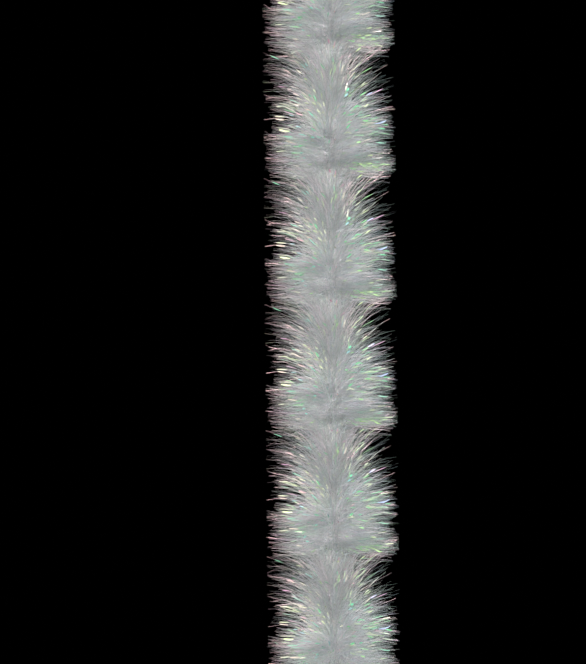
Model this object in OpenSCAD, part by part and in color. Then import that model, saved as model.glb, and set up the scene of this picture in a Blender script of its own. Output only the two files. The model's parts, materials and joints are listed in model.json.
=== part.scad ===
// Tinsel boa, hung over the wearer's neck: a bend of fringe tufts with a straight tail down each side.
// Every tuft is a bundle of narrow film strips laid across a two-ply core cord and trapped as the plies
// close on each other. Units are millimetres, +Z is up and +X is the tail on the right of someone
// looking along +Y. The origin is on the inner side of the bend's middle tuft, where the neck carries it.

/* [Fringe] */
// Diameter over the tips of the fringe
fringe_d = 98; // [82:1:118]
// Distance along the core from one tuft to the next
tuft_pitch = 96.25; // [80.25:0.25:116]
// Diameter of a tuft at its ends, where its strips bunch at the core
root_d = 18; // [15:0.1:21.6]
// Tufts in the bend over the neck
neck_tufts = 5; // [5:2:7]
// Tufts in each hanging tail
tail_tufts = 7; // [5:1:9]

/* [Core cord] */
// Diameter of the two plies together
core_d = 5; // [4.1:0.1:6]
// Thickness of the film strips pinched between the plies
pinch_t = 0.4; // [0.3:0.02:0.5]

/* [Bends] */
// Largest bend between two tufts before their fringes crush together
bend_angle = 45; // [37.5:0.5:54]
// Air left between two tufts at that bend
bend_clear = 0.4; // [0.3:0.02:0.5]
// Air between the rounded end of one core run and the flat end of the next
hinge_clear = 0.3; // [0.25:0.01:0.4]

/* [Tail ends] */
// Length of the thread binding that stops the plies from untwisting
binding_len = 14; // [11:0.5:17]
// Thickness of the binding's wound thread
binding_wall = 1.2; // [1:0.1:1.5]
// Length of bare core below the binding
core_stub = 3; // [2:0.5:4]

/* [Hidden] */
$fn = 96;
SIDES = ["left", "right"];
PLIES = ["front", "back"];
// Each tail's runs: the name, the tufts above the run and the tufts above its lower end
RUNS = [["upper", 0, 2], ["middle", 2, 4], ["lower", 4, tail_tufts]];

fringe_r = fringe_d / 2;
root_r = root_d / 2;
core_r = core_d / 2;

// The core's bend is as long as its tufts, and its tufts are straight, so each one's axis is the
// bend's chord moved halfway out to the bend: the core then leaves both of its ends off centre alike
neck_step = 180 / neck_tufts;
neck_r = neck_tufts * tuft_pitch / PI;
neck_axis_r = neck_r * (1 + cos(neck_step / 2)) / 2;
neck_centre_z = fringe_r - neck_axis_r;

// Half the air between two tufts, which lets the root edges turn past each other at the largest bend
half_gap = root_r * tan(bend_angle / 2) + bend_clear;
tuft_half = tuft_pitch / 2 - half_gap;

// How far a core run stops short of a pivot, to clear the round end of the run below
hinge_gap = core_r + hinge_clear;
hinge_gap_angle = hinge_gap / neck_r * 180 / PI;

tail_end_z = neck_centre_z - tail_tufts * tuft_pitch;
binding_r = core_r + binding_wall;

function side_sign(side) = side == "left" ? -1 : 1;
function ply_low_y(ply) = ply == "front" ? -core_r - pinch_t / 2 : pinch_t / 2;
function pivot_z(tufts_above) = neck_centre_z - tufts_above * tuft_pitch;
function neck_tuft_angle(i) = 180 - (i - 0.5) * neck_step;
function tuft_name(place, i) = str("fringe_tuft_", place, "_", i);
function ply_name(ply, place) = str("core_ply_", ply, "_", place);
function binding_name(side) = str("end_binding_", side);

// Cross-section of one ply: half of the round core, flat where it presses on the film strips
module ply_section(ply) {
    intersection() {
        circle(r = core_r);
        translate([-core_r, ply_low_y(ply)])
            square([2 * core_r, core_r]);
    }
}

// One ply along the bend, between two angles measured from +X towards +Z
module neck_ply(ply, from_angle, to_angle) {
    translate([0, 0, neck_centre_z])
        rotate([90, 0, 0])
            rotate([0, 0, from_angle])
                rotate_extrude(angle = to_angle - from_angle)
                    translate([neck_r, 0])
                        mirror([0, 1])
                            ply_section(ply);
}

// One ply of a straight run of core on the Z axis
module straight_ply(ply, top_z, bottom_z) {
    translate([0, 0, bottom_z])
        linear_extrude(height = top_z - bottom_z)
            ply_section(ply);
}

// Rounded top of a run's ply: a quarter ball, centred on the pivot so that it turns in place
module ply_round_end(ply, pivot) {
    translate([0, 0, pivot])
        intersection() {
            sphere(r = core_r);
            translate([-core_r, ply_low_y(ply), 0])
                cube([2 * core_r, core_r, core_r]);
        }
}

// Outer form of a tuft, widest halfway along where its strips stand straight out
module tuft_form() {
    rotate_extrude()
        polygon([
            [0, -tuft_half],
            [root_r, -tuft_half],
            [fringe_r, 0],
            [root_r, tuft_half],
            [0, tuft_half]
        ]);
}

// A tuft of the bend, counted from the left, with the channels that the plies run through
module neck_tuft(i) {
    angle = neck_tuft_angle(i);
    color("lavender")
        difference() {
            translate([neck_axis_r * cos(angle), 0, neck_centre_z + neck_axis_r * sin(angle)])
                rotate([0, -angle, 0])
                    tuft_form();
            for (ply = PLIES)
                neck_ply(ply, angle - neck_step / 2, angle + neck_step / 2);
        }
}

// A tuft of a tail, counted from the neck down
module tail_tuft(side, i) {
    top_z = pivot_z(i - 1);
    color("lavender")
        translate([side_sign(side) * neck_r, 0, 0])
            difference() {
                translate([0, 0, top_z - tuft_pitch / 2])
                    tuft_form();
                for (ply = PLIES)
                    straight_ply(ply, top_z, top_z - tuft_pitch);
            }
}

// A ply over the neck, stopped short of both tails' pivots
module core_ply_neck(ply) {
    color("gainsboro")
        neck_ply(ply, hinge_gap_angle, 180 - hinge_gap_angle);
}

// A ply of one tail's run. The lowest run goes on through the binding to the bare end.
module core_ply_tail(ply, side, run) {
    is_last = run[2] == tail_tufts;
    bottom_z = is_last ? tail_end_z - binding_len - core_stub : pivot_z(run[2]) + hinge_gap;
    color("gainsboro")
        translate([side_sign(side) * neck_r, 0, 0])
            union() {
                straight_ply(ply, pivot_z(run[1]), bottom_z);
                ply_round_end(ply, pivot_z(run[1]));
            }
}

// Thread wound tightly round the end of the core
module end_binding(side) {
    color("white")
        translate([side_sign(side) * neck_r, 0, tail_end_z - binding_len])
            rotate_extrude()
                translate([core_r, 0])
                    square([binding_r - core_r, binding_len]);
}

for (i = [1:neck_tufts])
    neck_tuft(i);
for (side = SIDES, i = [1:tail_tufts])
    tail_tuft(side, i);
for (ply = PLIES)
    core_ply_neck(ply);
for (ply = PLIES, side = SIDES, run = RUNS)
    core_ply_tail(ply, side, run);
for (side = SIDES)
    end_binding(side);
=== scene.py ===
import json
import math

import bpy
import numpy as np
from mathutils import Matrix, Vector


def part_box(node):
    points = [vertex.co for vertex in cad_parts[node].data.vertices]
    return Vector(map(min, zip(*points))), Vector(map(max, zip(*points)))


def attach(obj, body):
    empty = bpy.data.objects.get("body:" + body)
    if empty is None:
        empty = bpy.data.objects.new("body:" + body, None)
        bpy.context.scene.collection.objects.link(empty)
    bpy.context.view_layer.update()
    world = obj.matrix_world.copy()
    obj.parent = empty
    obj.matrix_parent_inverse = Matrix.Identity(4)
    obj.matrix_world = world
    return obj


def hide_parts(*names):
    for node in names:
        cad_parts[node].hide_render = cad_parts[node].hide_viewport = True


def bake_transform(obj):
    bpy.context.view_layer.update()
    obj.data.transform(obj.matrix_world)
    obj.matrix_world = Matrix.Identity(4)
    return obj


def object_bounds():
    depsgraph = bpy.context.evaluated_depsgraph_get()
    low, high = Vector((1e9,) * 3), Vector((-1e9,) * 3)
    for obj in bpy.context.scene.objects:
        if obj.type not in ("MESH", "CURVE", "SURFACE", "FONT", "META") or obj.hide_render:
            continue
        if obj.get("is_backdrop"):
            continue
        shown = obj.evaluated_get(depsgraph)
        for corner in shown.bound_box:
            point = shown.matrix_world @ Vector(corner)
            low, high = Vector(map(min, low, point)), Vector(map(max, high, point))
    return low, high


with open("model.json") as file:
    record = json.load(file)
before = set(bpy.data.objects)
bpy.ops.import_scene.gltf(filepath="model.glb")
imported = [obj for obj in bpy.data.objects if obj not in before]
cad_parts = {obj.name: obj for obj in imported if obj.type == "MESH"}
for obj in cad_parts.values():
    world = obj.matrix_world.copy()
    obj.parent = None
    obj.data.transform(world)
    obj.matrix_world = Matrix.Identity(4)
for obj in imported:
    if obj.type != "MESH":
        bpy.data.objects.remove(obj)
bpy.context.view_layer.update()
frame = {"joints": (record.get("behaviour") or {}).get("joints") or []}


# ---- Camera ----
# It stands level, square to the front of the left tail, and takes in about five of its tufts.
# A long lens keeps the boa as wide at the top of the picture as at the bottom.
hinge_at = {joint["name"]: Vector(joint["pos_m"]) for joint in frame["joints"]}
tail_x = hinge_at["left_neck_swing"].x
neck_z = hinge_at["left_neck_swing"].z
tuft_pitch = (neck_z - hinge_at["left_chest_bend"].z) / 2

LENS_MM, SENSOR_MM = 100.0, 36.0
LEAN = math.radians(0.47)
# In tufts: the height of the view, and how far its middle is from the tail and below the neck
TUFTS_IN_VIEW = 664 / 126
ASIDE, BELOW_NECK = 0.302, 3.286

view_height = TUFTS_IN_VIEW * tuft_pitch
camera_data = bpy.data.cameras.new("camera")
camera_data.lens = LENS_MM
camera_data.sensor_width = SENSOR_MM
camera = bpy.data.objects.new("camera", camera_data)
bpy.context.scene.collection.objects.link(camera)
camera.location = (
    tail_x - ASIDE * tuft_pitch,
    -view_height * LENS_MM / SENSOR_MM,
    neck_z - BELOW_NECK * tuft_pitch,
)
camera.rotation_euler = (math.radians(90), LEAN, 0)
bpy.context.scene.camera = camera


# ---- Core cord ----
# Two plies of spun polyester yarn, twisted round each other from one end of the boa to the other.
# The twist is what grips the strips. It hangs in a plain bend over the neck with a straight tail
# on each side, and is built as seven lengths of one cord.
NECK_TUFTS, TAIL_TUFTS = 5, 7
PLY_R = 0.00125
TWIST_PITCH = 0.011
RING_STEP, PLY_SIDES = 0.0016, 10
ROUTE_POINTS = 60
STUB_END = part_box("core_ply_front_left_lower")[0].z

neck_radius = -tail_x
neck_length = NECK_TUFTS * tuft_pitch
tail_length = TAIL_TUFTS * tuft_pitch
boa_length = neck_length + 2 * tail_length
stub_length = neck_z - tail_length - STUB_END


def on_the_boa(run, inward, back):
    """Places straight-boa points on the hung boa. run is the way along the core from the left tail's
    lowest tuft, inward the way towards the other tail and back the way towards the wearer's back."""
    turn = np.clip((run - tail_length) / neck_radius, 0, math.pi)
    past = run - tail_length - turn * neck_radius
    reach = neck_radius - inward
    x = -reach * np.cos(turn) + past * np.sin(turn)
    z = neck_z + reach * np.sin(turn) + past * np.cos(turn)
    return np.stack([x, back, z], axis=-1)


def mesh_piece(name, points, faces):
    """A smoothly shaded mesh object from an array of points and a list of faces."""
    mesh = bpy.data.meshes.new(name)
    mesh.from_pydata(points.reshape(-1, 3).tolist(), [], faces)
    mesh.shade_smooth()
    piece = bpy.data.objects.new(name, mesh)
    bpy.context.scene.collection.objects.link(piece)
    return piece


def tube_faces(rings, sides, first=0):
    """Quads round a tube of that many rings, with a cap on each end."""
    faces = []
    for ring in range(rings - 1):
        for side in range(sides):
            a = first + ring * sides + side
            b = first + ring * sides + (side + 1) % sides
            faces.append((a, b, b + sides, a + sides))
    faces.append(tuple(first + side for side in reversed(range(sides))))
    faces.append(tuple(first + (rings - 1) * sides + side for side in range(sides)))
    return faces


def core_length(name, start, end):
    """Both plies of the core between two places along the boa."""
    sides = PLY_SIDES
    rings = int((end - start) / RING_STEP) + 2
    run = np.linspace(start, end, rings)[:, None]
    round_ply = np.linspace(0, 2 * math.pi, sides, endpoint=False)[None, :]
    points, faces = [], []
    for ply in range(2):
        twist = 2 * math.pi * run / TWIST_PITCH + ply * math.pi
        lean = math.atan(2 * math.pi * PLY_R / TWIST_PITCH)
        out = PLY_R * (1 + np.cos(round_ply))
        side = PLY_R * np.sin(round_ply)
        inward = out * np.cos(twist) - side * math.cos(lean) * np.sin(twist)
        back = out * np.sin(twist) + side * math.cos(lean) * np.cos(twist)
        ring_run = run - side * math.sin(lean)
        points.append(on_the_boa(ring_run, inward, back))
        faces += tube_faces(rings, sides, first=ply * rings * sides)
    return mesh_piece(name, np.stack(points), faces)


def yarn_material():
    """Matt spun yarn: fine fibres that run round the ply, and slubs that vary its colour."""
    material = bpy.data.materials.new("spun core yarn")
    material.use_nodes = True
    nodes, links = material.node_tree.nodes, material.node_tree.links
    shader = nodes["Principled BSDF"]
    shader.inputs["Roughness"].default_value = 0.78
    shader.inputs["Sheen Weight"].default_value = 0.25
    where = nodes.new("ShaderNodeTexCoord")
    slubs = nodes.new("ShaderNodeTexNoise")
    slubs.inputs["Scale"].default_value = 260
    slubs.inputs["Detail"].default_value = 4
    colour = nodes.new("ShaderNodeValToRGB")
    colour.color_ramp.elements[0].color = (0.46, 0.44, 0.48, 1)
    colour.color_ramp.elements[1].color = (0.74, 0.72, 0.76, 1)
    fibres = nodes.new("ShaderNodeTexWave")
    fibres.bands_direction = "DIAGONAL"
    fibres.inputs["Scale"].default_value = 900
    fibres.inputs["Distortion"].default_value = 5
    bump = nodes.new("ShaderNodeBump")
    bump.inputs["Strength"].default_value = 0.35
    bump.inputs["Distance"].default_value = 0.0002
    links.new(where.outputs["Object"], slubs.inputs["Vector"])
    links.new(where.outputs["Object"], fibres.inputs["Vector"])
    links.new(slubs.outputs["Fac"], colour.inputs["Fac"])
    links.new(colour.outputs["Color"], shader.inputs["Base Color"])
    links.new(fibres.outputs["Fac"], bump.inputs["Height"])
    links.new(bump.outputs["Normal"], shader.inputs["Normal"])
    return material


core_yarn = yarn_material()


def core_cord(name, start, end, nodes):
    """One length of the core, standing for the plies of the CAD model."""
    cord = core_length(name, start, end)
    cord.data.materials.append(core_yarn)
    off_the_axis = np.zeros(ROUTE_POINTS)
    route = on_the_boa(np.linspace(start, end, ROUTE_POINTS), off_the_axis, off_the_axis)
    if start < 0:
        route = route[::-1]
    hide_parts(*nodes)
    return cord


cord = core_cord(
    "core_neck",
    tail_length + tuft_pitch,
    tail_length + neck_length - tuft_pitch,
    ["core_ply_front_neck", "core_ply_back_neck"],
)
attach(cord, "neck_drape")
# Each tail's hinges, from the neck down: the hinge, its two bodies and where its core length starts
# and ends, in tufts below the neck.
TAIL_HINGES = [
    ("neck_swing", "neck_drape", "upper", -1, 1),
    ("chest_bend", "upper", "middle", 1, 3),
    ("waist_bend", "middle", "lower", 3, TAIL_TUFTS + stub_length / tuft_pitch),
]
for side in ("left", "right"):
    for joint, above, below, first, last in TAIL_HINGES:
        top, bottom = tail_length - first * tuft_pitch, tail_length - last * tuft_pitch
        start, end = (bottom, top) if side == "left" else (boa_length - top, boa_length - bottom)
        body = f"{side}_{below}"
        cord = core_cord(
            f"core_{body}", start, end, [f"core_ply_front_{body}", f"core_ply_back_{body}"]
        )
        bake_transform(cord)


# ---- End bindings ----
# A whipping of fine thread at each end, wound tightly round both plies so that they cannot untwist.
# It is a single thread in close turns with a slight waver, its tails tucked under the last turns.
THREAD_R = 0.00055
THREAD_SIDES, THREAD_STEPS = 8, 28
CLIMB_WAVER, WIDTH_WAVER = 0.00007, 0.00005


def wound_thread(name, low, high, x):
    """Close turns of thread round the core between two heights."""
    turns = int((high.z - low.z) / (2 * THREAD_R)) - 1
    rings = turns * THREAD_STEPS
    angle = np.arange(rings) * 2 * math.pi / THREAD_STEPS
    climb = low.z + THREAD_R + (high.z - low.z - 2 * THREAD_R) * np.arange(rings) / (rings - 1)
    climb = climb + CLIMB_WAVER * np.sin(angle * 0.37 + 1.3)
    radius = (high.x - low.x) / 2 - THREAD_R + WIDTH_WAVER * np.sin(angle * 0.61)
    round_thread = np.linspace(0, 2 * math.pi, THREAD_SIDES, endpoint=False)[None, :]
    out = radius[:, None] + THREAD_R * np.cos(round_thread)
    points = np.stack(
        [
            x + out * np.cos(angle)[:, None],
            out * np.sin(angle)[:, None],
            climb[:, None] + THREAD_R * np.sin(round_thread),
        ],
        axis=-1,
    )
    return mesh_piece(name, points, tube_faces(rings, THREAD_SIDES))


def thread_material():
    """Glossy sewing thread, with its own ply marked by fine slanting lines."""
    material = bpy.data.materials.new("binding thread")
    material.use_nodes = True
    nodes, links = material.node_tree.nodes, material.node_tree.links
    shader = nodes["Principled BSDF"]
    shader.inputs["Roughness"].default_value = 0.5
    shader.inputs["Sheen Weight"].default_value = 0.3
    where = nodes.new("ShaderNodeTexCoord")
    lines = nodes.new("ShaderNodeTexWave")
    lines.bands_direction = "DIAGONAL"
    lines.inputs["Scale"].default_value = 1300
    lines.inputs["Distortion"].default_value = 2
    colour = nodes.new("ShaderNodeValToRGB")
    colour.color_ramp.elements[0].color = (0.62, 0.60, 0.65, 1)
    colour.color_ramp.elements[1].color = (0.86, 0.85, 0.88, 1)
    bump = nodes.new("ShaderNodeBump")
    bump.inputs["Strength"].default_value = 0.3
    bump.inputs["Distance"].default_value = 0.0001
    links.new(where.outputs["Object"], lines.inputs["Vector"])
    links.new(lines.outputs["Fac"], colour.inputs["Fac"])
    links.new(colour.outputs["Color"], shader.inputs["Base Color"])
    links.new(lines.outputs["Fac"], bump.inputs["Height"])
    links.new(bump.outputs["Normal"], shader.inputs["Normal"])
    return material


binding_thread = thread_material()
for side, x in (("left", tail_x), ("right", -tail_x)):
    low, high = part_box(f"end_binding_{side}")
    binding = wound_thread(f"binding_{side}", low, high, x)
    binding.data.materials.append(binding_thread)
    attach(binding, f"{side}_lower")
    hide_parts(f"end_binding_{side}")


# ---- Fringe tufts ----
# Nineteen bundles of narrow strips, slit from clear film with a pearly interference coating and
# laid across the core as its plies close. All root in the lower part of their tuft: the low ones
# stand straight out, and the rest climb along the core before they spread, as a palm's leaves do.
STANDING, CLIMBING, UNDER = 600, 1080, 400  # clumps of each kind in a tuft
CLUMP = 4  # strips in a clump
STATIONS = 7  # places along a strip
STRIP_W, TIP_NARROWING = 0.00020, 0.35
ROOT_R, TIP_LEAST_R = 0.0012, 0.009
FRINGE_R, FRINGE_MOST_R = 0.0480, 0.0505

rng = np.random.default_rng(11)


def for_strips(values):
    """One value for each strip, from one for each clump."""
    return np.repeat(values, CLUMP, axis=0)


def soft_step(value, low, high):
    """0 below low, 1 above high and a smooth rise between them."""
    share = np.clip((value - low) / (high - low), 0, 1)
    return share * share * (3 - 2 * share)


def hump(value, middle, width):
    """1 at the middle, falling away on both sides."""
    return np.exp(-(((value - middle) / width) ** 2))


def matted(tips, inner):
    """Where the lowest strips of the inner side mat together."""
    return soft_step(inner, 0.1, 0.6) * soft_step(0.11 - tips, 0, 0.05)


def notched(tips, inner):
    """Where the outer side has a deep notch and the inner side a shallow one."""
    deep = hump(tips, 0.36, 0.035) * soft_step(-inner, 0.3, 0.8)
    return deep + 0.6 * hump(tips, 0.165, 0.04) * soft_step(inner, 0.2, 0.8)


def thinned(tips, inner):
    """Where the inner side is sparse and short, at the top of the tuft."""
    return soft_step(tips, 0.54, 0.70) * soft_step(inner, 0.10, 0.55)


def standing_keep(tips, inner):
    """The strips that stand straight out, thickest in the mat on the inner side."""
    crisp = soft_step(inner, -0.1, 0.4)
    start = crisp * soft_step(tips, -0.015, 0.015) + (1 - crisp) * soft_step(tips, -0.14, 0.05)
    return start * (1 - soft_step(tips, 0.22, 0.36)) * (0.42 + 0.58 * matted(tips, inner))


def climbing_keep(tips, inner):
    """The climbing strips, sparse at the top of the inner side and at the notch."""
    ends = soft_step(tips, 0.14, 0.24) * (1 - soft_step(tips, 0.95, 1.30))
    full_mid = hump(tips, 0.34, 0.12) * soft_step(inner, 0.2, 0.8)
    thin = (1 - 0.42 * thinned(tips, inner)) * (1 - 0.7 * notched(tips, inner))
    return ends * (0.6 + 0.4 * full_mid) * thin


def under_keep(tips, inner):
    """The short bent strips that fill the foot of the tuft round the core."""
    return soft_step(tips, -0.05, 0.10) * (1 - soft_step(tips, 0.6, 0.95))


# The height of each clump's tips, in tufts, and its turn round the core. More places are drawn
# than are needed, and each is kept or left out by how full its kind is there.
PLACES_DRAWN = 9
kept = []
for number, lowest, highest, keep in (
    (STANDING, -0.14, 0.36, standing_keep),
    (CLIMBING, 0.14, 1.30, climbing_keep),
    (UNDER, -0.05, 0.95, under_keep),
):
    height = rng.uniform(lowest, highest, PLACES_DRAWN * number)
    turn = rng.uniform(-math.pi, math.pi, PLACES_DRAWN * number)
    chosen = rng.random(PLACES_DRAWN * number) < keep(height, np.cos(turn))
    kept.append((height[chosen][:number], turn[chosen][:number]))
heights, turns = (np.concatenate(values) for values in zip(*kept))
clumps = len(heights)
count = clumps * CLUMP
kind = for_strips(np.repeat(np.arange(3), [len(height) for height, turn in kept]))

# A clump's strips stray from each other, most in the loosest clumps
STRAY_HEIGHT, STRAY_TURN = 0.016, 0.06
loose = for_strips(rng.exponential(1.0, clumps))
tips = for_strips(heights) + loose * rng.normal(0, STRAY_HEIGHT, count)
angle = for_strips(turns) + loose * rng.normal(0, STRAY_TURN, count)
inner = np.cos(angle)
tip_run = tips * tuft_pitch

# How far each strip climbs along the core before its tip: the standing ones by their height, the
# climbing ones by more the further up their tip is, and the undergrowth by a little
LOW_CLIMB, LOW_CLIMB_FROM, LOW_CLIMB_SPREAD = 0.044, 0.13, 0.003
FAR_CLIMB_LEAST, FAR_CLIMB_MORE = 0.005, 0.060
FAR_CLIMB_FROM, FAR_CLIMB_OVER = 0.018, 0.042
UNDER_CLIMB_LEAST, UNDER_CLIMB_MOST = -0.002, 0.022
CLUMP_CLIMB_SPREAD, STRIP_CLIMB_SPREAD = 0.16, 0.06
low_climb = LOW_CLIMB * (tips - LOW_CLIMB_FROM)
low_climb = low_climb + for_strips(rng.normal(0, LOW_CLIMB_SPREAD, clumps))
up_the_tuft = np.maximum(tip_run - FAR_CLIMB_FROM, 0) / FAR_CLIMB_OVER
far_climb = FAR_CLIMB_LEAST + FAR_CLIMB_MORE * (1 - np.exp(-up_the_tuft))
under_climb = rng.uniform(UNDER_CLIMB_LEAST, UNDER_CLIMB_MOST, count)
climb = np.choose(kind, [low_climb, far_climb, under_climb])
climb = climb * for_strips(rng.normal(1, CLUMP_CLIMB_SPREAD, clumps))
climb = climb * rng.normal(1, STRIP_CLIMB_SPREAD, count)

# How much shorter than the fringe's full reach each strip is
CLUMP_SHORT, CLUMP_SHORT_POWER, STRIP_SHORT = 0.66, 1.9, 0.03
THINNED_SHORT, THINNED_SHARE = 0.24, 0.75
UNDER_SHORT_LEAST, UNDER_SHORT_MOST = 0.45, 0.80
MATTED_FULL, NOTCH_DEPTH = 0.8, 0.004
short = CLUMP_SHORT * for_strips(rng.random(clumps)) ** CLUMP_SHORT_POWER
short = short + np.abs(rng.normal(0, STRIP_SHORT, count))
is_cut = for_strips(rng.random(clumps) < THINNED_SHARE)
short += THINNED_SHORT * thinned(tips, inner) * is_cut
short = np.where(kind == 2, rng.uniform(UNDER_SHORT_LEAST, UNDER_SHORT_MOST, count), short)
short *= 1 - MATTED_FULL * matted(tips, inner)
tip_r = FRINGE_R * (1 - short) - NOTCH_DEPTH * notched(tips, inner)

# Each strip's middle line is one smooth curve with two handles. The first keeps it by the core
# as it climbs, and the second arches it over towards its tip.
CORE_HUG, CORE_HUG_INNER_LESS = 0.70, 0.13
FIRST_OUT, FIRST_OUT_LESS, SECOND_OUT = 0.50, 0.60, 0.51
ARCH_SPREAD, ARCH_TOP_LESS = 0.06, 0.14
along = np.linspace(0, 1, STATIONS)[None, :]
first, second, last = 3 * along * (1 - along) ** 2, 3 * along**2 * (1 - along), along**3
spread = (np.maximum(tip_r, TIP_LEAST_R) - ROOT_R)[:, None]
inner_top = soft_step(inner, 0, 0.6) * soft_step(tips, 0.5, 0.8)
arch = (1.00 + ARCH_SPREAD * rng.normal(0, 1, count) - ARCH_TOP_LESS * inner_top)[:, None]
hug = (CORE_HUG - CORE_HUG_INNER_LESS * soft_step(inner, -0.4, 0.4))[:, None]
radius = ROOT_R + spread * ((FIRST_OUT - FIRST_OUT_LESS * hug) * first + SECOND_OUT * second + last)
run = (tip_run - climb)[:, None] + climb[:, None] * (hug * first + arch * second + last)
middle = np.stack(
    [run, radius * np.cos(angle)[:, None], radius * np.sin(angle)[:, None]], axis=-1
)

# Kinks that a clump shares and kinks of each strip's own, which grow towards the tips
CLUMP_KINK, STRIP_KINK = 0.0009, 0.0012
kinks = for_strips(rng.normal(0, CLUMP_KINK, (clumps, STATIONS, 3)))
kinks = np.cumsum(kinks + rng.normal(0, STRIP_KINK, (count, STATIONS, 3)), axis=1)
middle += kinks - kinks[:, :1]
reach = np.hypot(middle[..., 1], middle[..., 2])
middle[..., 1:] *= np.minimum(1, FRINGE_MOST_R / np.maximum(reach, ROOT_R))[..., None]

# Which way each strip's flat side faces, twisting a little from place to place
TWIST_SPREAD = 0.5
heading = np.gradient(middle, axis=1)
heading /= np.linalg.norm(heading, axis=2, keepdims=True)
aside = np.cross(heading, rng.normal(0, 1, (count, 1, 3)))
aside /= np.linalg.norm(aside, axis=2, keepdims=True)
upright = np.cross(heading, aside)
twist = np.cumsum(rng.normal(0, TWIST_SPREAD, (count, STATIONS)), axis=1)
face_way = aside * np.cos(twist)[..., None] + upright * np.sin(twist)[..., None]
half_width = STRIP_W / 2 * (1 - TIP_NARROWING * along**2) * np.ones((count, 1))

# A strip's film is only seen as a faint line, but where it lies flat it flashes at its whole
# width in one interference colour. Each flash is a painted glint: these short flats are laid over
# the strips they belong to, and the glint's bright colour is painted into theirs.
FLASHES, FLASH_STATIONS = 680, 5
FLASH_W = 0.00150
FLASH_LEAST_L, FLASH_MOST_L, STRIP_L = 0.0045, 0.0110, 0.060
LIE_LEAST, LIE_MOST = 0.30, 0.90
FLASH_LEAST_POWER, FLASH_POWER_FALL = 0.25, 1.4
FLASH_TILT = 0.5
lie = rng.uniform(LIE_LEAST, LIE_MOST, count)
at = lie * (STATIONS - 1)
below = at.astype(int)
strip_at = np.arange(count)
lie_at = middle[strip_at, below]
lie_at = lie_at + (middle[strip_at, below + 1] - lie_at) * (at - below)[:, None]
lie_h = lie_at[:, 0] / tuft_pitch
lie_r = np.hypot(lie_at[:, 1], lie_at[:, 2]) / FRINGE_R
outer_face, inner_face = soft_step(-inner, -0.1, 0.4), soft_step(inner, -0.1, 0.4)
FLASH_PLACES = [  # face, height, its spread, way out, its spread, how many, place in the colours
    (1, 0.50, 0.60, 0.80, 0.30, 0.34, 0.45, 0.25),
    (outer_face, 0.53, 0.13, 0.62, 0.25, 0.8, 0.31, 0.08),
    (outer_face, 0.28, 0.07, 0.75, 0.25, 0.5, 0.66, 0.07),
    (inner_face, 0.36, 0.10, 0.85, 0.15, 1.9, 0.58, 0.10),
    (inner_face, 0.77, 0.12, 0.65, 0.25, 0.6, 0.42, 0.09),
    (inner_face, 0.015, 0.02, 0.78, 0.22, 2.8, 0.47, 0.03),
]
regions = np.stack(
    [
        face * hump(lie_h, height, tall) * hump(lie_r, way_out, wide) * many
        for face, height, tall, way_out, wide, many, hue, hue_spread in FLASH_PLACES
    ]
)
picked = rng.choice(count, FLASHES, replace=False, p=regions.sum(0) / regions.sum())
weights = regions[:, picked]
region = (rng.random(FLASHES) * weights.sum(0) < np.cumsum(weights, axis=0)).argmax(0)
*_, hues, hue_spreads = zip(*FLASH_PLACES)
hue = np.array(hues)[region] + np.array(hue_spreads)[region] * rng.normal(0, 1, FLASHES)
flash_half = rng.uniform(FLASH_LEAST_L, FLASH_MOST_L, FLASHES) / STRIP_L / 2
flash_power = rng.random((FLASHES, 1)) ** FLASH_POWER_FALL
flash_power = FLASH_LEAST_POWER + (1 - FLASH_LEAST_POWER) * flash_power
place = lie[picked, None] + flash_half[:, None] * np.linspace(-1, 1, FLASH_STATIONS)
place = np.clip(place, 0, 1) * (STATIONS - 1)
before = np.minimum(place.astype(int), STATIONS - 2)
share = (place - before)[..., None]
which = picked[:, None]
flash_middle = middle[which, before] * (1 - share) + middle[which, before + 1] * share
flash_heading = heading[which, before]
flash_out = flash_middle * (0, 1, 1)
flash_out /= np.linalg.norm(flash_out, axis=2, keepdims=True)
flash_out = flash_out + FLASH_TILT * rng.normal(0, 1, (FLASHES, 1, 3))
flash_way = np.cross(flash_heading, flash_out)
flash_way /= np.linalg.norm(flash_way, axis=2, keepdims=True)
taper = np.sin(np.linspace(0.12, 0.88, FLASH_STATIONS) * math.pi)
flash_half_w = FLASH_W / 2 * taper * (0.35 + 0.65 * flash_power * rng.uniform(0.6, 1, (FLASHES, 1)))


def ribbons(centres, ways, half_widths):
    """Both edges of each ribbon, as points in pairs along it, and its quads."""
    pairs = np.stack(
        [centres - ways * half_widths[..., None], centres + ways * half_widths[..., None]], axis=2
    )
    number, stations = half_widths.shape
    first = (np.arange(number)[:, None] * stations + np.arange(stations - 1)).ravel() * 2
    return pairs.reshape(-1, 3), np.stack([first, first + 1, first + 3, first + 2], axis=1)


strip_points, strip_quads = ribbons(middle, face_way, half_width)
flash_points, flash_quads = ribbons(flash_middle, flash_way, flash_half_w)
tuft_points = np.concatenate([strip_points, flash_points])
tuft_faces = np.concatenate([strip_quads, flash_quads + len(strip_points)])

# Each ribbon has its own tall cell on the map OFBake
CELL_SHAPE = 4  # times as tall as wide
CELL_FILL_ACROSS, CELL_FILL_UP = 0.6, 0.84
ribbon_number = np.arange(count + FLASHES)
columns = math.ceil(math.sqrt(CELL_SHAPE * (count + FLASHES)))
rows = math.ceil((count + FLASHES) / columns)
cell = np.stack([ribbon_number % columns, ribbon_number // columns], axis=-1)


def on_the_map(cells, stations):
    """Where both edges of each ribbon lie on the map, in the order of their points."""
    across = np.array([(1 - CELL_FILL_ACROSS) / 2, (1 + CELL_FILL_ACROSS) / 2])
    up = 0.5 + np.linspace(-0.5, 0.5, stations) * CELL_FILL_UP
    inside = np.stack(np.broadcast_arrays(across[None, :], up[:, None]), axis=-1)
    return ((cells[:, None, None, :] + inside) / (columns, rows)).reshape(-1, 2)


tuft_map = np.concatenate(
    [on_the_map(cell[:count], STATIONS), on_the_map(cell[count:], FLASH_STATIONS)]
)


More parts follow.
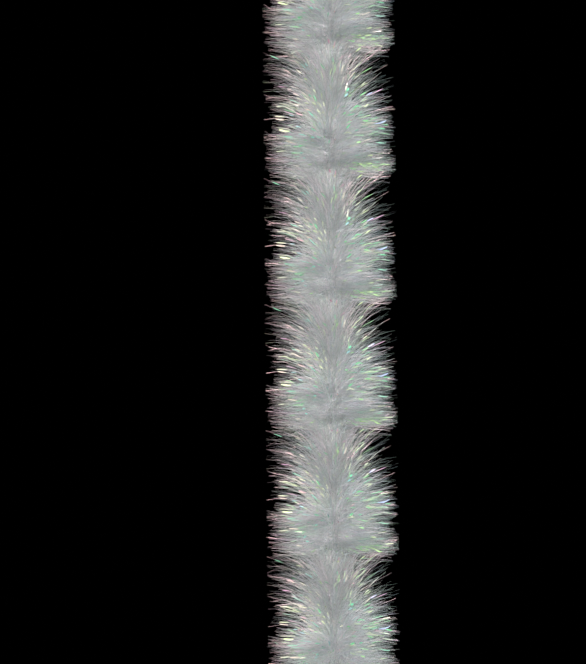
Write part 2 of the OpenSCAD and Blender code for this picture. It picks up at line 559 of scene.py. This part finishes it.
def looks(strips, flashes):
    """One value for each point of the tuft, from one for each station."""
    both = [np.repeat(np.ravel(values), 2) for values in (strips, flashes)]
    return np.concatenate(both).astype(np.float32)


# The film's brightness is painted: painted shade and highlight along each strip, where its twist turns
# it to or from the lamps, and tone that differs at random from clump to clump. The foot of the tuft is
# painted palest, as painted light that offsets the shade among its dense strips, and its sparse inner
# top darkest, as painted shade.
STRIP_HUE_SPREAD = 0.05
SHADE_SPREAD, CLUMP_SHADE_SPREAD = 0.16, 0.09
FOOT_PAINTED_LIGHT, TOP_DARKER, UNDER_PALER, THINNED_DARKER = 1.20, 0.33, 0.10, 0.28
# Each clump's place in the interference colours, whose painted reflection colour tints it
patch_hue = for_strips(rng.random(clumps)) + rng.normal(0, STRIP_HUE_SPREAD, count)
# Painted shade and highlight that vary along each strip as its twist turns it to or from the lamps
painted_shade_and_tone = np.clip(1 + SHADE_SPREAD * rng.normal(0, 1, (count, STATIONS)), 0.5, 1.5)
# Painted light at the foot and in the undergrowth, offsetting the shade there, and less towards the top
height_painted_light = FOOT_PAINTED_LIGHT - TOP_DARKER * soft_step(tips, 0.35, 0.85) + UNDER_PALER * (kind == 2)
painted_shade_and_tone *= height_painted_light[:, None]
# Painted shade on the sparse inner top
painted_shade_and_tone *= (1 - THINNED_DARKER * thinned(tips, inner))[:, None]
painted_shade_and_tone *= for_strips(rng.normal(1, CLUMP_SHADE_SPREAD, (clumps, 1)))
whole, whole_flash = np.ones((count, STATIONS)), np.ones((FLASHES, FLASH_STATIONS))
film_looks = {
    "film_hue": looks(whole * patch_hue[:, None], whole_flash * hue[:, None] % 1.0),
    "film_flash": looks(whole * 0, whole_flash * flash_power),
    "film_run": looks(
        np.hypot(middle[..., 1], middle[..., 2]) / FRINGE_R,
        np.hypot(flash_middle[..., 1], flash_middle[..., 2]) / FRINGE_R,
    ),
    "film_side": looks(whole * inner[:, None], whole_flash * inner[picked, None]),
    "film_painted_shade_and_tone": looks(painted_shade_and_tone, whole_flash),
}


# The interference colour is a painted reflection colour, painted into the film's own colour
FILM_TINT = 0.30  # how much of its interference colour a strip shows where it doesn't flash


def film_group():
    """Colour and gloss of the coated film from its place in the colour order and its flash, with
    painted reflection colour, painted glints, and painted light and shade.
    """
    group = bpy.data.node_groups.new("pearl film", "ShaderNodeTree")
    sockets = group.interface
    for name in ("Hue Place", "Flash", "Way Out", "Side", "Shade"):
        sockets.new_socket(name, in_out="INPUT", socket_type="NodeSocketFloat")
    sockets.new_socket("Colour", in_out="OUTPUT", socket_type="NodeSocketColor")
    sockets.new_socket("Roughness", in_out="OUTPUT", socket_type="NodeSocketFloat")
    nodes, links = group.nodes, group.links
    given, made = nodes.new("NodeGroupInput"), nodes.new("NodeGroupOutput")

    def ramp(stops):
        node = nodes.new("ShaderNodeValToRGB")
        elements = node.color_ramp.elements
        while len(elements) < len(stops):
            elements.new(0.5)
        for element, (place, colour) in zip(elements, stops):
            element.position = place
            element.color = (*colour, 1)
        return node

    def mix(factor, first, second, blend="MIX"):
        node = nodes.new("ShaderNodeMix")
        node.data_type = "RGBA"
        node.blend_type = blend
        if isinstance(factor, float):
            node.inputs["Factor"].default_value = factor
        else:
            links.new(factor, node.inputs["Factor"])
        links.new(first, node.inputs["A"])
        links.new(second, node.inputs["B"])
        return node.outputs["Result"]

    # The interference colours that the coating reflects, painted into the film's colour as painted
    # reflection colour
    order = ramp(
        [
            (0.00, (0.54, 0.27, 0.50)),
            (0.14, (0.90, 0.54, 0.56)),
            (0.28, (0.90, 0.89, 0.67)),
            (0.42, (0.72, 0.92, 0.42)),
            (0.58, (0.14, 0.82, 0.30)),
            (0.74, (0.37, 0.89, 0.77)),
            (0.88, (0.48, 0.50, 0.88)),
            (1.00, (0.54, 0.27, 0.50)),
        ]
    )
    # Pale near the core, as painted light that offsets the shade among the dense strips there, and
    # darker out to the tips
    outer = ramp(
        [
            (0.00, (1.00, 0.93, 0.99)),
            (0.30, (0.49, 0.462, 0.512)),
            (0.65, (0.315, 0.312, 0.342)),
            (1.00, (0.13, 0.09, 0.115)),
        ]
    )
    inner = ramp(
        [
            (0.00, (1.00, 0.93, 0.99)),
            (0.30, (0.49, 0.467, 0.528)),
            (0.65, (0.305, 0.31, 0.348)),
            (1.00, (0.10, 0.12, 0.14)),
        ]
    )
    to_inner = nodes.new("ShaderNodeMapRange")
    to_inner.inputs["From Min"].default_value = -0.4
    to_inner.inputs["From Max"].default_value = 0.4
    links.new(given.outputs["Side"], to_inner.inputs["Value"])
    links.new(given.outputs["Hue Place"], order.inputs["Fac"])
    for pearl_and_painted_light in (outer, inner):
        links.new(given.outputs["Way Out"], pearl_and_painted_light.inputs["Fac"])
    pearl_and_painted_light = mix(to_inner.outputs["Result"], outer.outputs["Color"], inner.outputs["Color"])
    coloured = mix(1.0, pearl_and_painted_light, order.outputs["Color"], "MULTIPLY")
    tinted = mix(FILM_TINT, pearl_and_painted_light, coloured)
    # Painted shade and highlight along the strips, and tone that differs at random from clump to clump
    shaded = mix(1.0, tinted, given.outputs["Shade"], "MULTIPLY")
    # Where a strip flashes, its painted glint in full interference colour
    shown = mix(given.outputs["Flash"], shaded, order.outputs["Color"])
    links.new(shown, made.inputs["Colour"])

    gloss = nodes.new("ShaderNodeMapRange")
    gloss.inputs["To Min"].default_value = 0.34
    gloss.inputs["To Max"].default_value = 0.22
    links.new(given.outputs["Flash"], gloss.inputs["Value"])
    links.new(gloss.outputs["Result"], made.inputs["Roughness"])
    return group


def film_material():
    """The strips' film: a clear plastic sheet under a thin coating that colours what it reflects."""
    material = bpy.data.materials.new("pearly slit film")
    material.use_nodes = True
    nodes, links = material.node_tree.nodes, material.node_tree.links
    shader = nodes["Principled BSDF"]
    shader.inputs["IOR"].default_value = 1.6
    shader.inputs["Specular IOR Level"].default_value = 0.6
    shader.inputs["Thin Film Thickness"].default_value = 388
    shader.inputs["Thin Film IOR"].default_value = 1.9
    film = nodes.new("ShaderNodeGroup")
    film.node_tree = film_group()
    for attribute, socket in (
        ("film_hue", "Hue Place"),
        ("film_flash", "Flash"),
        ("film_run", "Way Out"),
        ("film_side", "Side"),
        ("film_painted_shade_and_tone", "Shade"),
    ):
        read = nodes.new("ShaderNodeAttribute")
        read.attribute_name = attribute
        links.new(read.outputs["Fac"], film.inputs[socket])
    links.new(film.outputs["Colour"], shader.inputs["Base Color"])
    links.new(film.outputs["Roughness"], shader.inputs["Roughness"])
    return material


pearl_film = film_material()


def fringe_tuft(name, start):
    """One tuft whose lower end is at that place along the boa."""
    points = on_the_boa(start + tuft_points[:, 0], tuft_points[:, 1], tuft_points[:, 2])
    tuft = mesh_piece(name, points, tuft_faces.tolist())
    bake_map = tuft.data.uv_layers.new(name="OFBake")
    bake_map.uv.foreach_set("vector", tuft_map[tuft_faces.ravel()].ravel().astype(np.float32))
    for attribute, values in film_looks.items():
        layer = tuft.data.attributes.new(attribute, "FLOAT", "POINT")
        layer.data.foreach_set("value", values)
    tuft.data.materials.append(pearl_film)
    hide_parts(f"fringe_{name}")
    return tuft


for place in range(1, NECK_TUFTS + 1):
    tuft = fringe_tuft(f"tuft_neck_{place}", tail_length + (place - 1) * tuft_pitch)
    if place == 1:
        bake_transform(tuft)
    elif place == NECK_TUFTS:
        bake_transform(tuft)
    else:
        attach(tuft, "neck_drape")

# The hinge that each tail tuft is next to, from the neck down, and the bodies above and below it
TUFT_HINGES = [
    ("neck_swing", "neck_drape", "upper"),
    ("chest_bend", "upper", "middle"),
    ("chest_bend", "upper", "middle"),
    ("waist_bend", "middle", "lower"),
    ("waist_bend", "middle", "lower"),
]
for side in ("left", "right"):
    for place in range(1, TAIL_TUFTS + 1):
        start = tail_length - place * tuft_pitch
        if side == "right":
            start = boa_length - start - tuft_pitch
        tuft = fringe_tuft(f"tuft_{side}_{place}", start)
        if place > len(TUFT_HINGES):
            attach(tuft, f"{side}_lower")
            continue
        joint, above, below = TUFT_HINGES[place - 1]
        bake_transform(tuft)


# ---- Studio ----
# A plain pale floor below the tails, and broad soft lamps all round, the strongest in front and
# behind, in a room that is dark beyond them.
FLOOR_R, FLOOR_Z, FLOOR_SIDES = 0.85, -0.875, 96
FLOOR_GREY, FLOOR_ROUGHNESS = 0.27, 0.7
floor_turn = np.linspace(0, 2 * math.pi, FLOOR_SIDES, endpoint=False)
floor_edge = [FLOOR_R * np.cos(floor_turn), FLOOR_R * np.sin(floor_turn), np.full(FLOOR_SIDES, FLOOR_Z)]
floor = mesh_piece("floor", np.stack(floor_edge, axis=-1), [tuple(range(FLOOR_SIDES))])
floor_paint = bpy.data.materials.new("pale floor")
floor_paint.use_nodes = True
floor_shader = floor_paint.node_tree.nodes["Principled BSDF"]
floor_shader.inputs["Base Color"].default_value = (FLOOR_GREY, FLOOR_GREY, FLOOR_GREY, 1)
floor_shader.inputs["Roughness"].default_value = FLOOR_ROUGHNESS
floor.data.materials.append(floor_paint)
floor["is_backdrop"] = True


def soft_lamp(name, at, width, watts, aim=(0, 0, -0.4)):
    """A broad square lamp that faces the boa."""
    data = bpy.data.lights.new(name, "AREA")
    data.energy = watts
    data.size = width
    lamp = bpy.data.objects.new(name, data)
    lamp.location = at
    lamp.rotation_euler = (Vector(aim) - Vector(at)).to_track_quat("-Z", "Y").to_euler()
    lamp.visible_camera = False
    bpy.context.scene.collection.objects.link(lamp)


soft_lamp("front", (-0.15, -1.9, -0.40), 0.5, 71)
soft_lamp("front left", (-1.1, -1.7, 0.35), 0.9, 19)
soft_lamp("front right", (1.0, -1.8, 0.10), 0.9, 20)
soft_lamp("overhead", (0, 0, 1.6), 1.2, 40)
soft_lamp("left", (-1.9, 0.4, -0.20), 1.0, 26)
soft_lamp("right", (1.9, 0.4, -0.20), 1.0, 26)
soft_lamp("back left", (-1.1, 1.7, 0.2), 1.0, 56)
soft_lamp("back right", (1.1, 1.7, 0.2), 1.0, 56)

world = bpy.data.worlds.new("dark studio")
world.use_nodes = True
world.node_tree.nodes["Background"].inputs["Color"].default_value = (0, 0, 0, 1)
bpy.context.scene.world = world
bpy.context.scene.view_settings.view_transform = "Standard"

low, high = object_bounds()
